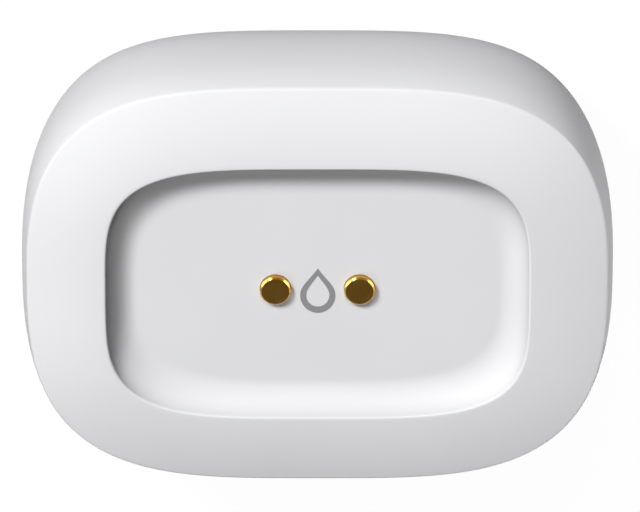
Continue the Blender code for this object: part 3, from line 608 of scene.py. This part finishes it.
def plain_finish(name, tints, cloud, roughness, spread, grain, depth, metallic=0.0, stretch=None, **sockets):
    """A material that wanders between two tints, with a grain in its roughness and relief."""
    made, tree, shader, place = surface(name, roughness, metallic, **sockets)
    if stretch is not None:
        place = add(tree, "ShaderNodeMapping", {"Vector": place, "Scale": stretch}).outputs[0]
    two_tone(tree, shader, noise(tree, place, cloud), *tints)
    fine = noise(tree, place, grain, 3.0)
    vary_roughness(tree, shader, fine, roughness - spread, roughness + spread)
    relief(tree, shader, fine, depth)
    return made


silicone = plain_finish("moulded_silicone", (SILICONE_DEEP, SILICONE), cloud=2.0 * MM, roughness=0.65,
                        spread=0.06, grain=0.12 * MM, depth=0.003 * MM, IOR=1.41)
dress(silicone, ["base_gasket", "door_seal"]
      + [f"drip_probe_seal_{side}" for side in pin_places]
      + [f"floor_probe_seal_{corner}" for corner in CORNERS])

# Battery door
# A round bayonet door in the same ABS, which a coin turns through an eighth of a turn. It hangs by three
# lugs on the base's ledge, and its pointer shows shut or open against the marks on the base.
DOOR_BOTTOM = 0.8 * MM
DISC_TOP = 2.6 * MM
DOOR_TOP = 4.3 * MM
DISC_RADIUS = 13.75 * MM
NECK_RADIUS = 12.35 * MM
LUG_RADIUS = 13.45 * MM
LUG_BOTTOM = 3.7 * MM
LUG_ANGLE = math.radians(24)
SEAL_GROOVE_LOW = 1.25 * MM
SEAL_GROOVE_HIGH = 2.15 * MM
SEAL_GROOVE_RADIUS = 13.15 * MM
DOOR_EDGE = 0.2 * MM
COIN_SLOT_LENGTH = 13.0 * MM
COIN_SLOT_WIDTH = 1.9 * MM
COIN_SLOT_SINK = 0.9 * MM
COIN_DISH_RADIUS = 8.6 * MM
COIN_DISH_SINK = 0.12 * MM
DOOR_MARK_PLACE = 12.4 * MM


def capsule(length, width, steps=16):
    """The outline of a slot with round ends."""
    radius = width / 2
    reach = length / 2 - radius
    angles = [math.pi * (i / steps - 0.5) for i in range(steps + 1)]
    right = [(reach + radius * math.cos(angle), radius * math.sin(angle)) for angle in angles]
    return right + [(-x, -y) for x, y in right]


door_profile = [
    (0.0, DOOR_TOP),
    (NECK_RADIUS, DOOR_TOP),
    (NECK_RADIUS, DISC_TOP),
    (DISC_RADIUS, DISC_TOP),
    (DISC_RADIUS, SEAL_GROOVE_HIGH),
    (SEAL_GROOVE_RADIUS, SEAL_GROOVE_HIGH),
    (SEAL_GROOVE_RADIUS, SEAL_GROOVE_LOW),
    (DISC_RADIUS, SEAL_GROOVE_LOW),
    (DISC_RADIUS, DOOR_BOTTOM + DOOR_EDGE),
    (DISC_RADIUS - DOOR_EDGE, DOOR_BOTTOM),
    (COIN_DISH_RADIUS, DOOR_BOTTOM),
    (COIN_DISH_RADIUS - COIN_DISH_SINK, DOOR_BOTTOM + COIN_DISH_SINK),
    (0.0, DOOR_BOTTOM + COIN_DISH_SINK),
]
battery_door = piece("bayonet_door", lathe(door_profile, steps=OPENING_STEPS), white_abs)
machined(battery_door, "UNION",
         [prism(slice_outline(LUG_RADIUS, LUG_ANGLE, math.tau * i / LUG_COUNT), LUG_BOTTOM, DOOR_TOP)
          for i in range(LUG_COUNT)])
coin_slot = prism(capsule(COIN_SLOT_LENGTH, COIN_SLOT_WIDTH), 0.0, DOOR_BOTTOM + COIN_SLOT_SINK)
door_mark = prism(pointer(DOOR_MARK_PLACE, MARK_ANGLE, -MARK_SIZE), 0.0, DOOR_BOTTOM + MARK_SINK)
machined(battery_door, "DIFFERENCE", [coin_slot, door_mark])
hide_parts("battery_door")
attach(battery_door, "door")

# Feet
# Four turned brass feet with the same hard gold plating. They carry the sensor and are also the probes for
# water on the floor, so each is pressed down by a gold plated spring under the board.
FOOT_EDGE = 0.2 * MM
FOOT_STUB = 0.5 * MM
FOOT_SEAL = 0.5 * MM


def rolled_foot(radius, edge, steps=8):
    """(radius, height) pairs round the lower edge of a foot, from its side to its flat face."""
    angles = [0.5 * math.pi * i / steps for i in range(steps + 1)]
    return [(radius - edge + edge * math.cos(a), edge - edge * math.sin(a)) for a in angles]


foot_flange_bottom = BASE_FLOOR + FOOT_SEAL
foot_flange_top = foot_flange_bottom + PIN_FLANGE_THICKNESS
foot_profile = [
    (0.0, foot_high[2]),
    (FOOT_STUB, foot_high[2]),
    (FOOT_STUB, foot_flange_top),
    (foot_radius + PIN_FLANGE, foot_flange_top),
    (foot_radius + PIN_FLANGE, foot_flange_bottom),
    (foot_radius, foot_flange_bottom),
    *rolled_foot(foot_radius, FOOT_EDGE),
    (0.0, 0.0),
]
for corner, place in foot_places.items():
    foot = piece(f"foot_{corner}", lathe(foot_profile, *place), gold_plating)
    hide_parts(f"floor_probe_{corner}")
    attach(foot, "case")
dress(gold_plating, [f"floor_probe_spring_{corner}" for corner in CORNERS] + ["antenna"])

# Case screws
# Four stainless self-tapping screws with a pan head and a cross recess, driven up through the base.
STAINLESS = "#C9C9CB"
STAINLESS_DEEP = "#BCBDC0"
SHANK_RADIUS = 0.9 * MM
HEAD_RADIUS = 1.6 * MM
HEAD_TOP = 2.2 * MM
HEAD_ROUND = 0.35 * MM
RECESS_LENGTH = 1.92 * MM
RECESS_WIDTH = 0.36 * MM
RECESS_DEPTH = 0.6 * MM


def pan_edge(radius, bottom, edge, steps=8):
    """(radius, height) pairs round the edge of a pan head that faces down."""
    angles = [0.5 * math.pi * i / steps for i in range(steps + 1)]
    return [(radius - edge + edge * math.cos(a), bottom + edge - edge * math.sin(a)) for a in angles]


def cross(length, width, x, y):
    """The outline of a cross recess."""
    far, near = length / 2, width / 2
    arm = [(far, -near), (far, near), (near, near)]
    corners = []
    for quarter in range(4):
        cosine, sine = math.cos(0.5 * math.pi * quarter), math.sin(0.5 * math.pi * quarter)
        corners += [(x + a * cosine - b * sine, y + a * sine + b * cosine) for a, b in arm]
    return corners


stainless = plain_finish("passivated_stainless", (STAINLESS_DEEP, STAINLESS), cloud=0.8 * MM,
                         roughness=0.28, spread=0.05, grain=0.06 * MM, depth=0.001 * MM, metallic=1.0)
for corner, (x, y) in screw_places.items():
    low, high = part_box(f"case_screw_{corner}")
    screw_profile = [
        (0.0, high[2]),
        (SHANK_RADIUS / 2, high[2]),
        (SHANK_RADIUS, high[2] - SHANK_RADIUS),
        (SHANK_RADIUS, HEAD_TOP),
        (HEAD_RADIUS, HEAD_TOP),
        *pan_edge(HEAD_RADIUS, low[2], HEAD_ROUND),
        (0.0, low[2]),
    ]
    screw = piece(f"pan_screw_{corner}", lathe(screw_profile, x, y, 64), stainless)
    machined(screw, "DIFFERENCE",
             [prism(cross(RECESS_LENGTH, RECESS_WIDTH, x, y), 0.0, low[2] + RECESS_DEPTH)])
    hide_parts(f"case_screw_{corner}")
    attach(screw, "case")

# Cell, holder and contacts
# A lithium coin cell in a nickel plated steel can, held by a ring of black glass-filled nylon, with sprung
# contacts stamped from nickel plated bronze strip.
CELL_TURNING = 0.25 * MM


def turned_can():
    """Nickel plated steel, polished on a lathe: the fine rings spread the light round the axis."""
    made, tree, shader, place = surface("polished_nickel_can", 0.24, 1.0)
    flat = add(tree, "ShaderNodeVectorMath", {0: place, 1: (1.0, 1.0, 0.0)}, operation="MULTIPLY").outputs[0]
    distance = add(tree, "ShaderNodeVectorMath", {0: flat}, operation="LENGTH").outputs["Value"]
    turning = add(tree, "ShaderNodeTexNoise", {"W": distance, "Scale": 1 / CELL_TURNING, "Detail": 2.0},
                  noise_dimensions="1D").outputs["Fac"]
    two_tone(tree, shader, turning, "#BDBBB6", "#CBC9C4")
    vary_roughness(tree, shader, turning, 0.18, 0.32)
    relief(tree, shader, turning, 0.001 * MM)
    return made


dress(turned_can(), ["coin_cell"])
nylon = plain_finish("glass_filled_nylon", ("#1D1E20", "#26272A"), cloud=0.9 * MM, roughness=0.5,
                     spread=0.08, grain=0.1 * MM, depth=0.004 * MM, IOR=1.53)
dress(nylon, ["battery_holder"])
bronze_strip = plain_finish("nickel_plated_bronze", ("#BEB7A8", "#CFC9BC"), cloud=0.6 * MM,
                            roughness=0.25, spread=0.06, grain=0.05 * MM, depth=0.001 * MM,
                            metallic=1.0, stretch=(1.0, 6.0, 6.0))
dress(bronze_strip, ["battery_contact_positive", "battery_contact_negative"])

# Circuit board and its parts
# Glass-epoxy laminate under green solder mask, with a shielded radio module at one end and small parts in
# their own packages: epoxy compound, tinned cans, fired ceramic and ferrite.
WEAVE = 0.45 * MM


def solder_mask():
    """Green mask over copper and glass cloth: glossy, darker off the copper, with the weave just felt."""
    made, tree, shader, place = surface("masked_glass_laminate", 0.3, IOR=1.55, Coat_Weight=0.3)
    two_tone(tree, shader, noise(tree, place, 1.6 * MM, 0.0), "#0B3D22", "#14552F", 0.48, 0.52)
    weave = add(tree, "ShaderNodeTexWave", {"Vector": place, "Scale": 1 / (20 * WEAVE)},
                bands_direction="X").outputs["Fac"]
    relief(tree, shader, weave, 0.004 * MM)
    return made


dress(solder_mask(), ["circuit_board", "radio_module_board"])
tinned = plain_finish("tinned_steel_can", ("#B4B5B7", "#C2C3C5"), cloud=1.5 * MM, roughness=0.33,
                      spread=0.06, grain=0.15 * MM, depth=0.002 * MM, metallic=1.0)
dress(tinned, ["radio_shield", "clock_crystal", "pairing_switch_body"])
epoxy = plain_finish("epoxy_mould_compound", ("#222325", "#2B2C2E"), cloud=0.5 * MM, roughness=0.55,
                     spread=0.07, grain=0.05 * MM, depth=0.002 * MM, IOR=1.55)
dress(epoxy, ["controller_chip", "memory_chip", "sensing_amplifier", "temperature_sensor", "input_diode"])
ceramic = plain_finish("fired_ceramic", ("#B79C72", "#C7AE86"), cloud=0.4 * MM, roughness=0.4,
                       spread=0.06, grain=0.05 * MM, depth=0.002 * MM, IOR=1.7)
dress(ceramic, ["smoothing_capacitor"])
led_lens = plain_finish("cast_led_resin", ("#E9E4D2", "#F2EEDF"), cloud=0.5 * MM, roughness=0.25,
                        spread=0.04, grain=0.05 * MM, depth=0.001 * MM, IOR=1.52)
dress(led_lens, ["status_led"])
ferrite = plain_finish("sintered_ferrite", ("#37383B", "#46474B"), cloud=0.3 * MM, roughness=0.6,
                       spread=0.08, grain=0.06 * MM, depth=0.004 * MM, IOR=2.0)
dress(ferrite, ["voltage_inductor"])
acetal = plain_finish("moulded_acetal", ("#141517", "#1B1C1E"), cloud=0.5 * MM, roughness=0.38,
                      spread=0.05, grain=0.05 * MM, depth=0.001 * MM, IOR=1.48)
dress(acetal, ["pairing_switch_button"])

# Studio
# A pale floor that stays white for the camera and keeps a faint shadow, and a long lens that looks down on
# the tray. A soft key from the upper left, three weaker soft lamps and two low strips light the part, with
# no light by diffuse bounces, and the world is there for the camera and for reflections only.
FLOOR_WHITE = "#C0C0C0"
FLOOR_CLEARANCE = 0.02 * MM
CAMERA_TILT = math.radians(28)
CAMERA_DISTANCE = 890.0 * MM
CAMERA_LENS = 565.7
AIM_HEIGHT = 8.3 * MM
AIM_RIGHT = 0.22 * MM
AIM_DOWN = 0.75 * MM
LAMP_DISTANCE = 1.2
SOFT = 0.35
LAMPS = (   # name, azimuth, elevation, width, height, watts
    ("key", 126, 35, SOFT, SOFT, 13.0),
    ("back", 90, 40, SOFT, SOFT, 3.6),
    ("overhead", 225, 75, SOFT, SOFT, 1.8),
    ("front_left", 216, 42, SOFT, SOFT, 2.1),
    ("right_strip", 0, 0.35, 0.5, 0.014, 4.6),
    ("front_strip", 300, 0.35, 0.5, 0.014, 3.8),
)
CEILING_DARK = 0.12
HORIZON_TOP = 0.25
CEILING_START = 0.6
SOFTBOX = 6.0
SOFTBOX_EDGE = (0.7, 0.8)
SOFTBOX_HEIGHT = 0.31
SOFTBOX_HALF_BAND = 0.1
FLOOR_GLOW = 1.08
FLOOR_GLOW_SHARE = 0.9
FLOOR_HALF = 2.0
UP = Vector((0.0, 0.0, 1.0))


def aim(thing, target, up):
    """Points a camera or lamp at a target with a given up direction in its picture."""
    forward = (target - thing.location).normalized()
    right = forward.cross(up).normalized()
    above = right.cross(forward)
    rows = [(right[i], above[i], -forward[i]) for i in range(3)]
    thing.rotation_euler = Matrix(rows).to_euler()


def studio_world():
    """White to the camera; in reflections a dark ceiling, a white horizon and a softbox at either side."""
    world = bpy.data.worlds.new("studio")
    world.use_nodes = True
    tree = world.node_tree
    tree.nodes.clear()
    rays = add(tree, "ShaderNodeLightPath")
    upward = add(tree, "ShaderNodeSeparateXYZ", {0: add(tree, "ShaderNodeTexCoord").outputs["Generated"]})
    falloff = add(tree, "ShaderNodeMapRange", {
        "Value": upward.outputs["Z"], "From Min": HORIZON_TOP, "From Max": CEILING_START, "To Min": 1.0,
        "To Max": CEILING_DARK})
    sideways = add(tree, "ShaderNodeMath", {0: upward.outputs["X"]}, operation="ABSOLUTE")
    softbox = add(tree, "ShaderNodeMapRange", {
        "Value": sideways.outputs[0], "From Min": SOFTBOX_EDGE[0], "From Max": SOFTBOX_EDGE[1],
        "To Min": 0.0, "To Max": SOFTBOX})
    in_band = add(tree, "ShaderNodeMath", {
        0: upward.outputs["Z"], 1: SOFTBOX_HEIGHT, 2: SOFTBOX_HALF_BAND}, operation="COMPARE")
    panel = add(tree, "ShaderNodeMath", {0: softbox.outputs[0], 1: in_band.outputs[0]}, operation="MULTIPLY")
    mirrored = add(tree, "ShaderNodeMath", {0: falloff.outputs[0], 1: panel.outputs[0]}, operation="ADD")
    shiny = add(tree, "ShaderNodeMath", {0: rays.outputs["Is Glossy Ray"],
                                         1: rays.outputs["Is Transmission Ray"]}, operation="MAXIMUM")
    fill = add(tree, "ShaderNodeMath", {0: shiny.outputs[0], 1: mirrored.outputs[0]}, operation="MULTIPLY")
    seen = add(tree, "ShaderNodeMix", {0: rays.outputs["Is Camera Ray"], 2: fill.outputs[0], 3: 1.0})
    light = add(tree, "ShaderNodeBackground", {"Strength": seen.outputs[0]})
    add(tree, "ShaderNodeOutputWorld", {"Surface": light.outputs[0]})
    return world


def floor_paper():
    """Seamless studio paper, white to the camera and matt to the light."""
    made = bpy.data.materials.new("studio_paper")
    made.use_nodes = True
    tree = made.node_tree
    tree.nodes.clear()
    rays = add(tree, "ShaderNodeLightPath")
    matt = add(tree, "ShaderNodeBsdfDiffuse", {"Color": linear(FLOOR_WHITE)})
    glow = add(tree, "ShaderNodeEmission", {"Strength": FLOOR_GLOW})
    share = add(tree, "ShaderNodeMath", {0: rays.outputs["Is Camera Ray"], 1: FLOOR_GLOW_SHARE},
                operation="MULTIPLY")
    mixed = add(tree, "ShaderNodeMixShader", {0: share.outputs[0], 1: matt.outputs[0], 2: glow.outputs[0]})
    add(tree, "ShaderNodeOutputMaterial", {"Surface": mixed.outputs[0]})
    return made


def without_bounces(data):
    """Shines a lamp on what it reaches straight or in a mirror, but not by way of a diffuse surface."""
    data.use_nodes = True
    tree = data.node_tree
    depth = add(tree, "ShaderNodeLightPath").outputs["Diffuse Depth"]
    direct = add(tree, "ShaderNodeMath", {0: depth, 1: 0.5}, operation="LESS_THAN")
    tree.links.new(direct.outputs[0], tree.nodes["Emission"].inputs["Strength"])


floor_mesh = bmesh.new()
bmesh.ops.create_grid(floor_mesh, x_segments=1, y_segments=1, size=FLOOR_HALF)
bmesh.ops.translate(floor_mesh, verts=floor_mesh.verts, vec=(0.0, 0.0, -FLOOR_CLEARANCE))
floor = piece("studio_floor", floor_mesh, floor_paper())
bpy.context.scene.world = studio_world()

for name, azimuth, elevation, width, height, power in LAMPS:
    lamp_data = bpy.data.lights.new(name, "AREA")
    lamp_data.shape = "ELLIPSE"
    lamp_data.size = width
    lamp_data.size_y = height
    lamp_data.energy = power
    without_bounces(lamp_data)
    lamp = bpy.data.objects.new(name, lamp_data)
    bpy.context.scene.collection.objects.link(lamp)
    turn, rise = math.radians(azimuth), math.radians(elevation)
    lamp.location = LAMP_DISTANCE * Vector((math.cos(rise) * math.cos(turn), math.cos(rise) * math.sin(turn),
                                            math.sin(rise)))
    lamp.visible_camera = False
    lamp.visible_glossy = name != "back"
    aim(lamp, Vector(), UP)

camera_data = bpy.data.cameras.new("camera")
camera_data.lens = CAMERA_LENS
camera_data.clip_start = 0.01
camera_data.clip_end = 20.0
camera = bpy.data.objects.new("camera", camera_data)
bpy.context.scene.collection.objects.link(camera)
picture_up = Vector((0.0, math.cos(CAMERA_TILT), -math.sin(CAMERA_TILT)))
aim_point = Vector((AIM_RIGHT, 0.0, AIM_HEIGHT)) - AIM_DOWN * picture_up
camera.location = aim_point + CAMERA_DISTANCE * Vector((0.0, math.sin(CAMERA_TILT), math.cos(CAMERA_TILT)))
aim(camera, aim_point, picture_up)
bpy.context.scene.camera = camera
